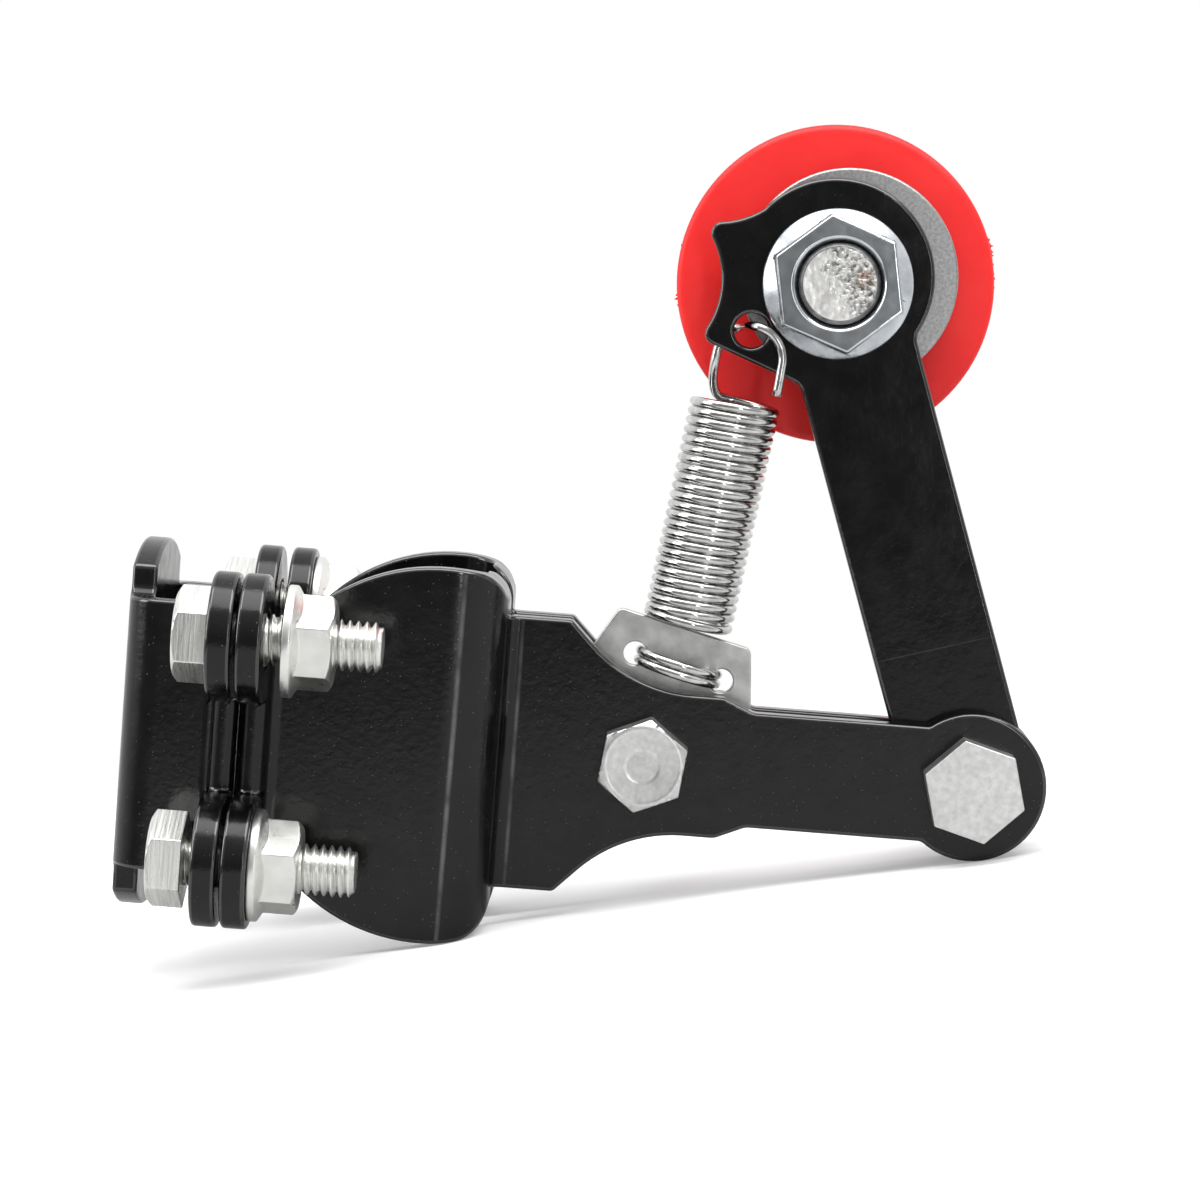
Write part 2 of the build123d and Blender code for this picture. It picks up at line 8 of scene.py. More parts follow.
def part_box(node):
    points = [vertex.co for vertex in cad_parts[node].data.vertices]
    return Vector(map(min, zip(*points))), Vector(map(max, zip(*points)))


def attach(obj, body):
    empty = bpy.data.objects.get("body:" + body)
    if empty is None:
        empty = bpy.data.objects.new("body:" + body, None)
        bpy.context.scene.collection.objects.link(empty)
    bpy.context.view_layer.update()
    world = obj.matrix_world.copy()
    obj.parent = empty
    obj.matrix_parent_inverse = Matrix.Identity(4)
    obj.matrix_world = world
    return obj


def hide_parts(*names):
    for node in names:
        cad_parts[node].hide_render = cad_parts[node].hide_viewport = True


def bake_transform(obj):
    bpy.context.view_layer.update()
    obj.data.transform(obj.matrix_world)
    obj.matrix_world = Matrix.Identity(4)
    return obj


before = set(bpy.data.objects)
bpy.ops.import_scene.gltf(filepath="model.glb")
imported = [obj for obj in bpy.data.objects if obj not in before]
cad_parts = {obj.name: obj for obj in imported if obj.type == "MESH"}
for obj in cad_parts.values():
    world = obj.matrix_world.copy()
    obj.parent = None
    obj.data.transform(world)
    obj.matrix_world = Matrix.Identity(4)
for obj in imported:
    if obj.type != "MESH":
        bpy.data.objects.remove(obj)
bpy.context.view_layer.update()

mm = 0.001

# Places and sizes taken over from the part, in millimetres and radians
near_face = -5.0
anchor_x = 40.0
pivot_x = 80.0
arm_lean = radians(19.4)
arm_length = 63.0
axle_x = pivot_x - arm_length * sin(arm_lean)
axle_z = arm_length * cos(arm_lean)
clamp_bolt_y = 24.0
clamp_bolt_z = 13.25
clamp_seat_x = -11.05
loose_head = 1.3
clamp_bolt_length = 20.0
anchor_bolt_length = 18.0
pivot_bolt_length = 18.9
pivot_shoulder = 10.2
m6_radius = 3.0
m6_pitch = 1.0
m10_bore = 5.05
anchor_tilt = radians(13.5)
anchor_plate_reach = 16.8
wire_hole_shift = 0.6
wire_hole_reach = 12.0
hook_hole_shift = 11.5
hook_hole_reach = 60.3


# Finishes

def new_finish(name):
    """Empty material with its shader and its node tree."""
    finish = bpy.data.materials.new(name)
    finish.use_nodes = True
    return finish, finish.node_tree, finish.node_tree.nodes["Principled BSDF"]


def place(tree, stretch=(1, 1, 1), turn=(0, 0, 0)):
    """The piece's own coordinates, stretched and turned for one pattern."""
    coordinates = tree.nodes.new("ShaderNodeTexCoord")
    mapping = tree.nodes.new("ShaderNodeMapping")
    mapping.inputs["Scale"].default_value = stretch
    mapping.inputs["Rotation"].default_value = turn
    tree.links.new(coordinates.outputs["Object"], mapping.inputs["Vector"])
    return mapping.outputs["Vector"]


def mottle(tree, scale, detail=3.0, stretch=(1, 1, 1)):
    """Cloudy pattern with about the given number of clouds to the metre."""
    noise = tree.nodes.new("ShaderNodeTexNoise")
    noise.inputs["Scale"].default_value = scale
    noise.inputs["Detail"].default_value = detail
    tree.links.new(place(tree, stretch), noise.inputs["Vector"])
    return noise.outputs["Fac"]


def span(tree, value, low, high, to_low, to_high):
    """Stretches a pattern from one range of values to another, and stops at its ends."""
    ranged = tree.nodes.new("ShaderNodeMapRange")
    for name, number in (("From Min", low), ("From Max", high), ("To Min", to_low), ("To Max", to_high)):
        ranged.inputs[name].default_value = number
    tree.links.new(value, ranged.inputs["Value"])
    return ranged.outputs["Result"]


def sums(tree, operation, first, second):
    """One sum on two patterns, or on a pattern and a number."""
    node = tree.nodes.new("ShaderNodeMath")
    node.operation = operation
    for socket, value in zip(node.inputs, (first, second)):
        if isinstance(value, (int, float)):
            socket.default_value = value
        else:
            tree.links.new(value, socket)
    return node.outputs["Value"]


def tint(tree, share, under, over):
    """Colour that goes from under to over with the share. Each is a colour or another tint."""
    blend = tree.nodes.new("ShaderNodeMix")
    blend.data_type = "RGBA"
    tree.links.new(share, blend.inputs["Factor"])
    for socket, colour in ((blend.inputs[6], under), (blend.inputs[7], over)):
        if isinstance(colour, tuple):
            socket.default_value = (*colour, 1)
        else:
            tree.links.new(colour, socket)
    return blend.outputs[2]


def relief(tree, shader, *layers):
    """Stacks bump layers, each a height pattern, its strength and its depth in millimetres."""
    below = None
    for height, strength, depth in layers:
        bump = tree.nodes.new("ShaderNodeBump")
        bump.inputs["Strength"].default_value = strength
        bump.inputs["Distance"].default_value = depth * mm
        tree.links.new(height, bump.inputs["Height"])
        if below is not None:
            tree.links.new(below, bump.inputs["Normal"])
        below = bump.outputs["Normal"]
    tree.links.new(below, shader.inputs["Normal"])


def spot(tree, centre, reach, soft, turn=0.0):
    """1 inside an egg shape about a point of the piece, falling to 0 outside it, in millimetres."""
    coordinates = tree.nodes.new("ShaderNodeTexCoord")
    shape = tree.nodes.new("ShaderNodeMapping")
    shape.vector_type = "TEXTURE"
    shape.inputs["Location"].default_value = [c * mm for c in centre]
    shape.inputs["Rotation"].default_value = (0, turn, 0)
    shape.inputs["Scale"].default_value = [r * mm for r in reach]
    tree.links.new(coordinates.outputs["Object"], shape.inputs["Vector"])
    distance = tree.nodes.new("ShaderNodeVectorMath")
    distance.operation = "LENGTH"
    tree.links.new(shape.outputs["Vector"], distance.inputs[0])
    return span(tree, distance.outputs["Value"], 1, 1 + soft, 1, 0)


def specks(tree, scale, size, share):
    """Dust: small dots in some of the cells of a scattered pattern."""
    cells = tree.nodes.new("ShaderNodeTexVoronoi")
    cells.inputs["Scale"].default_value = scale
    tree.links.new(place(tree), cells.inputs["Vector"])
    pick = tree.nodes.new("ShaderNodeSeparateColor")
    tree.links.new(cells.outputs["Color"], pick.inputs["Color"])
    chosen = sums(tree, "LESS_THAN", pick.outputs["Red"], share)
    reach = span(tree, pick.outputs["Green"], 0, 1, 0.3 * size, size)
    dot = sums(tree, "LESS_THAN", cells.outputs["Distance"], reach)
    return sums(tree, "MULTIPLY", chosen, dot)


def black_paint(name, stains_and_highlights=(), smooth=0.15, rough=0.23, ior=1.42):
    """Glossy black paint with orange peel and dust, and marks at given places: brown rust, dull spots,
    pale scratches and painted highlight lines.
    """
    finish, tree, shader = new_finish(name)
    cloud = span(tree, mottle(tree, 260), 0.35, 0.65, 0, 1)
    colour = tint(tree, cloud, (0.0018, 0.0018, 0.0019), (0.0042, 0.0042, 0.0042))
    patchy = span(tree, mottle(tree, 240, 4), 0.30, 0.62, 0.25, 1)
    # Each mark tints the paint; the light grey lines among them are painted highlights
    for centre, reach, soft, turn, stain_or_highlight in stains_and_highlights:
        share = sums(tree, "MULTIPLY", spot(tree, centre, reach, soft, turn), patchy)
        colour = tint(tree, share, colour, stain_or_highlight)
    dust = specks(tree, 1900, 0.10, 0.6)
    colour = tint(tree, dust, colour, (0.22, 0.22, 0.21))
    tree.links.new(colour, shader.inputs["Base Color"])
    shine = span(tree, mottle(tree, 420), 0.3, 0.7, smooth, rough)
    dull_dust = sums(tree, "MULTIPLY", dust, 0.4)
    tree.links.new(sums(tree, "ADD", shine, dull_dust), shader.inputs["Roughness"])
    shader.inputs["IOR"].default_value = ior
    relief(tree, shader, (mottle(tree, 1100, 2), 0.45, 0.06), (mottle(tree, 120, 2), 0.02, 0.20))
    return finish


def bare_metal(name, dark, light, smooth, rough, cloud_scale, grain, grain_depth, stretch=(1, 1, 1)):
    """Plated or drawn steel: cloudy plating, a fine grain and an uneven shine."""
    finish, tree, shader = new_finish(name)
    cloud = span(tree, mottle(tree, cloud_scale, 5, stretch), 0.32, 0.68, 0, 1)
    tree.links.new(tint(tree, cloud, dark, light), shader.inputs["Base Color"])
    shine = span(tree, mottle(tree, 700, 4, stretch), 0.3, 0.7, smooth, rough)
    tree.links.new(shine, shader.inputs["Roughness"])
    shader.inputs["Metallic"].default_value = 1
    relief(tree, shader, (mottle(tree, grain, 4, stretch), 0.3, grain_depth))
    return finish


def cut_bolt_end():
    """Sheared end of the axle bolt: bright on one half, torn on the other and painted grey there as
    shade, darkest in its dents, with a rust spot.
    """
    finish, tree, shader = new_finish("cut_bolt_end")
    tear_turn = radians(25)
    tear_sway = 2 * mm
    dents = span(tree, mottle(tree, 1700, 5), 0.36, 0.64, 0, 1)
    axes = tree.nodes.new("ShaderNodeSeparateXYZ")
    tree.links.new(place(tree, turn=(0, tear_turn, 0)), axes.inputs[0])
    middle_x = axle_x * cos(tear_turn) + axle_z * sin(tear_turn)
    sway = span(tree, mottle(tree, 700, 4), 0.3, 0.7, -tear_sway, tear_sway)
    ragged_x = sums(tree, "ADD", axes.outputs["X"], sway)
    torn = span(tree, ragged_x, (middle_x - 0.8) * mm, (middle_x + 1.2) * mm, 0, 1)
    smooth_face = tint(tree, dents, (0.86, 0.85, 0.82), (0.97, 0.97, 0.95))
    # The torn half's colour darkens with the depth of its dents: painted shade, on a face that is rough
    # in fact
    shaded_torn_face = tint(tree, dents, (0.14, 0.14, 0.13), (0.86, 0.85, 0.83))
    colour = tint(tree, torn, smooth_face, shaded_torn_face)
    rust = spot(tree, (axle_x + 2.9, -9.3, axle_z + 0.9), (0.4, 0.4, 0.4), 3)
    ragged = sums(tree, "MULTIPLY", rust, span(tree, mottle(tree, 2600, 3), 0.42, 0.6, 0, 1))
    tree.links.new(tint(tree, ragged, colour, (0.20, 0.075, 0.03)), shader.inputs["Base Color"])
    tree.links.new(span(tree, ragged, 0, 1, 0.34, 0.7), shader.inputs["Roughness"])
    tree.links.new(span(tree, ragged, 0, 1, 1, 0.2), shader.inputs["Metallic"])
    torn_dents = sums(tree, "MULTIPLY", dents, span(tree, torn, 0, 1, 0.08, 1))
    relief(tree, shader, (torn_dents, 0.8, 0.16), (mottle(tree, 420, 2), 0.2, 0.6))
    return finish


def red_polyurethane():
    """Satin cast polyurethane with a faint flow pattern and a little dust."""
    finish, tree, shader = new_finish("red_polyurethane")
    cloud = span(tree, mottle(tree, 140, 4), 0.3, 0.7, 0, 1)
    colour = tint(tree, cloud, (0.90, 0.018, 0.018), (0.95, 0.028, 0.026))
    dust = specks(tree, 420, 0.05, 0.10)
    tree.links.new(tint(tree, dust, colour, (0.72, 0.10, 0.09)), shader.inputs["Base Color"])
    tree.links.new(span(tree, mottle(tree, 700), 0.3, 0.7, 0.38, 0.52), shader.inputs["Roughness"])
    shader.inputs["Specular IOR Level"].default_value = 0.35
    shader.inputs["Subsurface Weight"].default_value = 0.12
    shader.inputs["Subsurface Radius"].default_value = (0.004, 0.0006, 0.0005)
    shader.inputs["Subsurface Scale"].default_value = 0.3
    relief(tree, shader, (mottle(tree, 2400, 3), 0.12, 0.05))
    return finish


def white_nylon():
    """Plain moulded nylon of the bushes and the thin thrust washers."""
    finish, tree, shader = new_finish("white_nylon")
    cloud = span(tree, mottle(tree, 200, 3), 0.3, 0.7, 0, 1)
    tree.links.new(tint(tree, cloud, (0.70, 0.68, 0.61), (0.80, 0.79, 0.73)), shader.inputs["Base Color"])
    tree.links.new(span(tree, mottle(tree, 800), 0.3, 0.7, 0.4, 0.55), shader.inputs["Roughness"])
    relief(tree, shader, (mottle(tree, 1600, 3), 0.15, 0.05))
    return finish


brown_rust = (0.055, 0.022, 0.010)
dull_black = (0.004, 0.004, 0.004)
pale_scratch = (0.030, 0.030, 0.030)
# Light grey for the thin lines along the starts of the folds: painted highlight
painted_bend_highlight = (0.13, 0.13, 0.13)
# Places of marks in the paint, real marks and painted highlights: centre, reach, softness, turn and
# colour
plate_paint = black_paint("black_paint", [
    ((30.5, -5.0, -13.2), (0.9, 0.9, 0.9), 0.9, 0, dull_black),
    # Two thin light lines, at the cheek's fold and at the fold into the arm plate: painted highlights
    ((17.3, -15.4, 0), (0.08, 1.2, 9), 4.0, radians(0.6), painted_bend_highlight),
    ((24.3, -5.0, 0), (0.07, 0.8, 5), 4.0, 0, painted_bend_highlight),
])
far_rust = [((22.4, 9.0, 16.2), (0.8, 0.8, 0.8), 3, 0, brown_rust)]
far_paint = black_paint("black_paint_far", far_rust)
bead_look = {"smooth": 0.10, "rough": 0.15, "ior": 1.8}
paint_bead = black_paint("black_paint_bead", **bead_look)
far_paint_bead = black_paint("black_paint_far_bead", far_rust, **bead_look)
arm_scratch = [((73.8, -1.5, 16.0), (5.6, 0.3, 0.06), 0.6, radians(-17), pale_scratch)]
arm_paint = black_paint("black_paint_arm", arm_scratch, ior=1.36)

zinc = bare_metal("bright_zinc", (0.76, 0.76, 0.73), (0.88, 0.88, 0.85), 0.18, 0.27, 160, 2200, 0.03)
head_zinc = bare_metal(
    "satin_head_zinc", (0.62, 0.62, 0.61), (0.78, 0.78, 0.77), 0.30, 0.40, 1300, 3200, 0.05
)
ridged_zinc = bare_metal(
    "trimmed_zinc", (0.68, 0.68, 0.65), (0.94, 0.94, 0.91), 0.24, 0.38, 190, 230, 0.3,
    stretch=(14, 0.5, 0.5),
)
blue_zinc = bare_metal("blue_zinc", (0.48, 0.51, 0.54), (0.66, 0.69, 0.71), 0.12, 0.20, 260, 1800, 0.03)
flange_zinc = bare_metal(
    "flange_zinc", (0.44, 0.47, 0.50), (0.70, 0.73, 0.76), 0.18, 0.30, 260, 1800, 0.03
)
satin_zinc = bare_metal(
    "satin_zinc", (0.31, 0.31, 0.31), (0.48, 0.48, 0.48), 0.36, 0.46, 2600, 4200, 0.06
)
plate_zinc = bare_metal(
    "plate_zinc", (0.44, 0.44, 0.43), (0.66, 0.66, 0.64), 0.28, 0.40, 420, 3200, 0.05
)
# Darker steel for the nut's bore and the bolt's sides inside it: painted shade
shaded_bore_steel = bare_metal(
    "shaded_bore_steel", (0.16, 0.16, 0.16), (0.32, 0.32, 0.32), 0.32, 0.45, 900, 2600, 0.05
)
nut_zinc = bare_metal(
    "satin_nut_zinc", (0.74, 0.74, 0.71), (0.88, 0.88, 0.85), 0.27, 0.36, 300, 2400, 0.04
)
wire_steel = bare_metal(
    "drawn_wire", (0.48, 0.48, 0.47), (0.72, 0.72, 0.71), 0.11, 0.18, 700, 2600, 0.015
)
bolt_end = cut_bolt_end()
polyurethane = red_polyurethane()
nylon = white_nylon()


# Making and placing pieces

def node_copy(node, merge=0.0004):
    """Copy of a CAD node's mesh, merged and freed from the flat triangles' inner edges."""
    bm = bmesh.new()
    bm.from_mesh(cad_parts[node].data)
    bmesh.ops.remove_doubles(bm, verts=bm.verts, dist=merge * mm)
    bmesh.ops.dissolve_limit(
        bm, angle_limit=radians(0.4), verts=bm.verts, edges=bm.edges, use_dissolve_boundaries=False
    )
    return bm


def sharp_edges(bm, angle=28.0):
    """Edges whose faces meet at more than the angle, in degrees."""
    return [e for e in bm.edges if len(e.link_faces) == 2 and e.calc_face_angle() > radians(angle)]


def round_over(bm, edges, width, segments):
    """Rounds the given edges over by a width in millimetres, and gives the new faces."""
    return bmesh.ops.bevel(
        bm, geom=edges, offset=width * mm, offset_type="OFFSET", segments=segments, profile=0.5,
        affect="EDGES", clamp_overlap=False, material=-1,
    )["faces"]


def cut_away(bm, point, way, ahead):
    """Cuts a mesh with a plane and clears what lies ahead of it along the way, or else behind it."""
    bmesh.ops.bisect_plane(
        bm, geom=bm.verts[:] + bm.edges[:] + bm.faces[:], plane_co=point, plane_no=way,
        clear_inner=not ahead, clear_outer=ahead,
    )


def open_edges(bm):
    """Edges round the openings of a mesh."""
    return [e for e in bm.edges if e.is_boundary]


def flat_face(bm, way):
    """Largest face that looks along the way."""
    return max((f for f in bm.faces if f.normal.dot(way) > 0.99), key=lambda f: f.calc_area())


def turned_to(way):
    """Matrix that turns +Z to the way."""
    return Vector((0, 0, 1)).rotation_difference(way).to_matrix().to_4x4()


def make_piece(bm, name, body, node, slot, *finishes):
    """Turns a bmesh into a piece that rides on its body and stands for its CAD node."""
    for face in bm.faces:
        face.smooth = True
    mesh = bpy.data.meshes.new(name)
    bm.to_mesh(mesh)
    bm.free()
    for finish in finishes:
        mesh.materials.append(finish)
    piece = bpy.data.objects.new(name, mesh)
    bpy.context.scene.collection.objects.link(piece)
    even = piece.modifiers.new("even_shading", "WEIGHTED_NORMAL")
    even.keep_sharp = True
    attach(piece, body)
    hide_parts(node)


def rounded_piece(node, body, slot, finish, width, segments=3):
    """A CAD node with its sharp edges rounded over."""
    bm = node_copy(node)
    round_over(bm, sharp_edges(bm), width, segments)
    make_piece(bm, f"{node}_finished", body, node, slot, finish)


# Painted sheet pieces, with a glossy bead of paint round their edges, kept inside the CAD sheet's box
paint_edge = 0.45
fold_merge = 0.04
flat_merge = 0.0004
for node, body, finish, bead, merge in (
    ("bracket_plate_near", "bracket", plate_paint, paint_bead, fold_merge),
    ("bracket_plate_far", "bracket", far_paint, far_paint_bead, fold_merge),
    ("clamp_strap", "bracket", plate_paint, paint_bead, fold_merge),
    ("lever_arm", "arm", arm_paint, paint_bead, flat_merge),
):
    sheet = node_copy(node, merge)
    for face in round_over(sheet, sharp_edges(sheet), paint_edge, 4):
        face.material_index = 1
    low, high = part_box(node)
    for vert in sheet.verts:
        vert.co = [min(max(c, least), most) for c, least, most in zip(vert.co, low, high)]
    make_piece(sheet, f"{node}_painted", body, node, "black_paint", finish, bead)


# Bolts with their threads

def threaded_rod(radius, pitch, length):
    """Thread along +Z from the origin, with its tip turned down to the root."""
    off_row = 0.005
    depth = 0.61 * pitch
    steps = 30
    tip = 1.1 * depth
    outline = (
        (radius - depth, 0.0),
        (radius - depth, 0.09),
        (radius - 0.07 * depth, 0.40),
        (radius, 0.45),
        (radius, 0.55),
        (radius - 0.07 * depth, 0.60),
        (radius - depth, 0.91),
        (radius - depth, 1.0),
    )
    turns = ceil(length / pitch) + 2
    bm = bmesh.new()
    line = [bm.verts.new((r * mm, 0, (share - 1) * pitch * mm)) for r, share in outline]
    edges = [bm.edges.new(pair) for pair in zip(line, line[1:])]
    bmesh.ops.spin(
        bm, geom=line + edges, cent=(0, 0, 0), axis=(0, 0, 1), dvec=(0, 0, pitch * mm / steps),
        angle=2 * pi * turns, steps=steps * turns, use_merge=False,
    )
    bmesh.ops.remove_doubles(bm, verts=bm.verts, dist=0.002 * mm)
    cut_away(bm, (0, 0, off_row * mm), (0, 0, 1), False)
    cut_away(bm, (0, 0, (length - off_row) * mm), (0, 0, 1), True)
    for vert in bm.verts:
        reach = vert.co.xy.length
        most = (radius - max(0, vert.co.z / mm - (length - tip))) * mm
        if reach > most:
            vert.co.xy *= most / reach
    bmesh.ops.holes_fill(bm, edges=open_edges(bm))
    bmesh.ops.recalc_face_normals(bm, faces=bm.faces)
    return bm


def press_head(bm, direction, steps):
    """Presses rings and a dish into a bolt's head, by steps of a width and a rise in millimetres."""
    flat = flat_face(bm, -direction)
    for width, rise in steps:
        bmesh.ops.inset_individual(
            bm, faces=[flat], thickness=width * mm, depth=rise * mm, use_even_offset=True
        )


def draw_up(bm, direction, depth=1.2):
    """Cuts off the chamfered top of a hexagon and draws its open rim up to its full height."""
    top = min(v.co.dot(direction) for v in bm.verts)
    cut_away(bm, direction * (top + depth * mm), direction, False)
    rim = [v for v in bm.verts if v.is_boundary]
    bmesh.ops.translate(bm, verts=rim, vec=-direction * depth * mm)


def bolt_piece(node, seat, way, start, length, finish, head_steps=(), square=False):
    """A CAD bolt whose plain shank is cut off at the start distance and made anew with an M6 thread."""
    overlap = 0.01
    seat_point = Vector(seat) * mm
    direction = Vector(way)
    bm = node_copy(node)
    cut_away(bm, seat_point + direction * (start + overlap) * mm, direction, True)
    bmesh.ops.holes_fill(bm, edges=open_edges(bm))
    if square:
        draw_up(bm, direction)
        bmesh.ops.holes_fill(bm, edges=open_edges(bm))
    round_over(bm, sharp_edges(bm, 20), 0.14, 2)
    press_head(bm, direction, head_steps)
    rod = threaded_rod(m6_radius, m6_pitch, length - start)
    rod.transform(Matrix.Translation(seat_point + direction * start * mm) @ turned_to(direction))
    shank = bpy.data.meshes.new(node + "_shank")
    rod.to_mesh(shank)
    rod.free()
    bm.from_mesh(shank)
    bpy.data.meshes.remove(shank)
    make_piece(bm, f"{node}_threaded", "bracket", node, "zinc_plate", finish)


for side, hand in (("near", -1), ("far", 1)):
    for level, lift in (("upper", 1), ("lower", -1)):
        back_off = loose_head if (side, level) == ("near", "lower") else 0
        seat = (clamp_seat_x - back_off, hand * clamp_bolt_y, lift * clamp_bolt_z)
        bolt_piece(f"clamp_bolt_{side}_{level}", seat, (1, 0, 0), 0, clamp_bolt_length, ridged_zinc)
ring_and_dish = [(0.25, 0), (0.2, -0.08), (1.9, 0), (0.25, -0.12), (0.3, -0.04)]
bolt_piece(
    "anchor_bolt", (anchor_x, near_face, 0), (0, 1, 0), 0, anchor_bolt_length, head_zinc, ring_and_dish
)
bolt_piece(
    "pivot_bolt", (pivot_x, near_face, 0), (0, 1, 0), pivot_shoulder, pivot_bolt_length, head_zinc,
    square=True,
)


# Nuts
m6_nuts = [f"clamp_nut_{side}_{level}" for side in ("near", "far") for level in ("upper", "lower")]
for node in m6_nuts + ["anchor_nut", "pivot_nut"]:
    rounded_piece(node, "bracket", "zinc_plate", nut_zinc, 0.16, 2)


def axle_nut_piece():
    """Large flange nut with a full hexagon and a countersunk bore, with painted shade in the bore."""
    near_bore = m10_bore + 0.1
    countersink = 0.6
    flat_rim = 0.15
    flange_depth = 3.5
    down = Vector((0, 1, 0))
    middle_of_bore = Vector((axle_x, 0, axle_z)) * mm
    bm = node_copy("axle_nut")
    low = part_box("axle_nut")[0].y

    def on_bore(part):
        return all((v.co.xz - middle_of_bore.xz).length < near_bore * mm for v in part.verts)

    draw_up(bm, down)
    bmesh.ops.holes_fill(bm, edges=[e for e in open_edges(bm) if not on_bore(e)])
    round_over(bm, [e for e in sharp_edges(bm, 20) if not on_bore(e)], 0.28, 3)
    flat = flat_face(bm, -down)
    bmesh.ops.inset_individual(bm, faces=[flat], thickness=flat_rim * mm, use_even_offset=True)
    bmesh.ops.delete(bm, geom=[flat], context="FACES_ONLY")
    loop = [e for e in open_edges(bm) if on_bore(e)]
    mouth = list({v for e in loop for v in e.verts})
    for width in (countersink, flat_rim):
        made = bmesh.ops.extrude_edge_only(bm, edges=loop)["geom"]
        loop = [g for g in made if isinstance(g, bmesh.types.BMEdge) and g.is_boundary]
        ring = list({v for e in loop for v in e.verts})
        wider = 1 + width * mm / (ring[0].co.xz - middle_of_bore.xz).length
        bmesh.ops.scale(bm, verts=ring, vec=(wider, 1, wider), space=Matrix.Translation(-middle_of_bore))
    bmesh.ops.translate(bm, verts=mouth, vec=down * countersink * mm)
    bmesh.ops.bridge_loops(bm, edges=open_edges(bm))
    bmesh.ops.recalc_face_normals(bm, faces=bm.faces)
    for face in bm.faces:
        # The bore's faces get the darker steel: painted shade
        if on_bore(face):
            face.material_index = 1
        elif face.normal.y < -0.3 and face.calc_center_median().y > low + flange_depth * mm:
            face.material_index = 2
    make_piece(
        bm, "axle_nut_finished", "arm", "axle_nut", "zinc_plate", blue_zinc, shaded_bore_steel, flange_zinc
    )


axle_nut_piece()


def axle_bolt_piece():
    """Axle bolt with a sheared end, and painted shade on its sides inside the nut."""
    bore_shade_length = 4
    bm = node_copy("axle_bolt")
    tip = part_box("axle_bolt")[0].y
    round_over(bm, sharp_edges(bm), 0.12, 2)
    for face in bm.faces:
        height = face.calc_center_median().y - tip
        # Sides within a few millimetres of the end lie in the nut's bore and get the darker steel:
        # painted shade
        if height < 0.01 * mm:
            face.material_index = 1
        elif height < bore_shade_length * mm:
            face.material_index = 2
    make_piece(bm, "axle_bolt_finished", "arm", "axle_bolt", "zinc_plate", zinc, bolt_end, shaded_bore_steel)


axle_bolt_piece()


# Washers, sleeve, bushes and anchor plate
for node, body, slot, finish, width in (
    ("anchor_plate", "bracket", "satin_zinc", plate_zinc, 0.22),
    ("anchor_washer_near", "bracket", "zinc_plate", zinc, 0.15),
    ("anchor_washer_far", "bracket", "zinc_plate", zinc, 0.15),
    ("pivot_washer", "bracket", "zinc_plate", zinc, 0.2),
    ("thrust_washer_near", "bracket", "white_nylon", nylon, 0.08),
    ("thrust_washer_far", "bracket", "white_nylon", nylon, 0.08),
    ("axle_washer_near", "arm", "satin_zinc", satin_zinc, 0.35),
    ("axle_washer_far", "arm", "satin_zinc", satin_zinc, 0.25),
    ("axle_sleeve", "arm", "zinc_plate", zinc, 0.25),
    ("roller_bush_near", "roller", "white_nylon", nylon, 0.25),
    ("roller_bush_far", "roller", "white_nylon", nylon, 0.25),
):
    rounded_piece(node, body, slot, finish, width)


# Torn bits of mould flash: angle round the roller in degrees, length in millimetres
flash_bits = [
    (3, 0.2), (6.5, 0.3), (8, 0.2), (11.5, 0.25), (14.5, 0.35), (15.2, 0.25), (16.6, 0.5), (17.4, 0.35),
    (18.3, 0.55), (19, 0.3), (19.8, 0.45), (21, 0.25), (188, 0.3), (189.4, 0.45), (192, 0.25), (170, 0.2),
]


def roller_piece():
    """Cast roller with torn bits of mould flash on its near rim."""
    rim_depth = 1.1
    root_radius = 19.4
    most_sideways = 48
    root_thickness, end_thickness = 0.22, 0.05
    bm = node_copy("roller")
    round_over(bm, sharp_edges(bm), 0.2, 3)
    middle_of_rim = Vector((axle_x * mm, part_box("roller")[0].y + rim_depth * mm, axle_z * mm))
    for number, (angle, length) in enumerate(flash_bits):
        sideways = most_sideways * sin(2.4 * number)
        outwards = Vector((cos(radians(angle)), 0.3 * sin(3.1 * number), sin(radians(angle))))
        way = (Matrix.Rotation(radians(sideways), 3, "Y") @ outwards).normalized()
        root = middle_of_rim + Vector((cos(radians(angle)), 0, sin(radians(angle)))) * root_radius * mm
        bmesh.ops.create_cone(
            bm, cap_ends=True, segments=6, radius1=root_thickness * mm, radius2=end_thickness * mm,
            depth=length * mm, matrix=Matrix.Translation(root + way * length / 2 * mm) @ turned_to(way),
        )
    make_piece(bm, "roller_cast", "roller", "roller", "red_polyurethane", polyurethane)


roller_piece()


# Extension spring of round wire
wire_radius = 0.565
coil_radius = 4.95
coil_pitch = 1.16
first_coil = 1.5
tail_turn = 0.6
end_pitch = 1.12
coil_start = anchor_plate_reach - wire_hole_reach + 0.55 + 0.12
hook_reach = 8.0
hook_turn_back = 0.2
hook_radius = 4.0
hook_shift = 0.5
hook_lift = 0.6
hook_stand_off = 2.7
hook_dive = 0.9
hook_cross = 0.45
hook_bend = 2.0
hook_tail = Vector((0.15, 0, -3.7))
spring_foot = Vector((
    anchor_x + wire_hole_shift * cos(anchor_tilt) + wire_hole_reach * sin(anchor_tilt),
    0,
    wire_hole_reach * cos(anchor_tilt) - wire_hole_shift * sin(anchor_tilt),
))
spring_eye = Vector((
    pivot_x - hook_hole_shift * cos(arm_lean) - hook_hole_reach * sin(arm_lean),
    0,
    hook_hole_reach * cos(arm_lean) - hook_hole_shift * sin(arm_lean),
))
spring_up = (spring_eye - spring_foot).normalized()
spring_right = Vector((spring_up.z, 0, -spring_up.x))
spring_length = (spring_eye - spring_foot).length
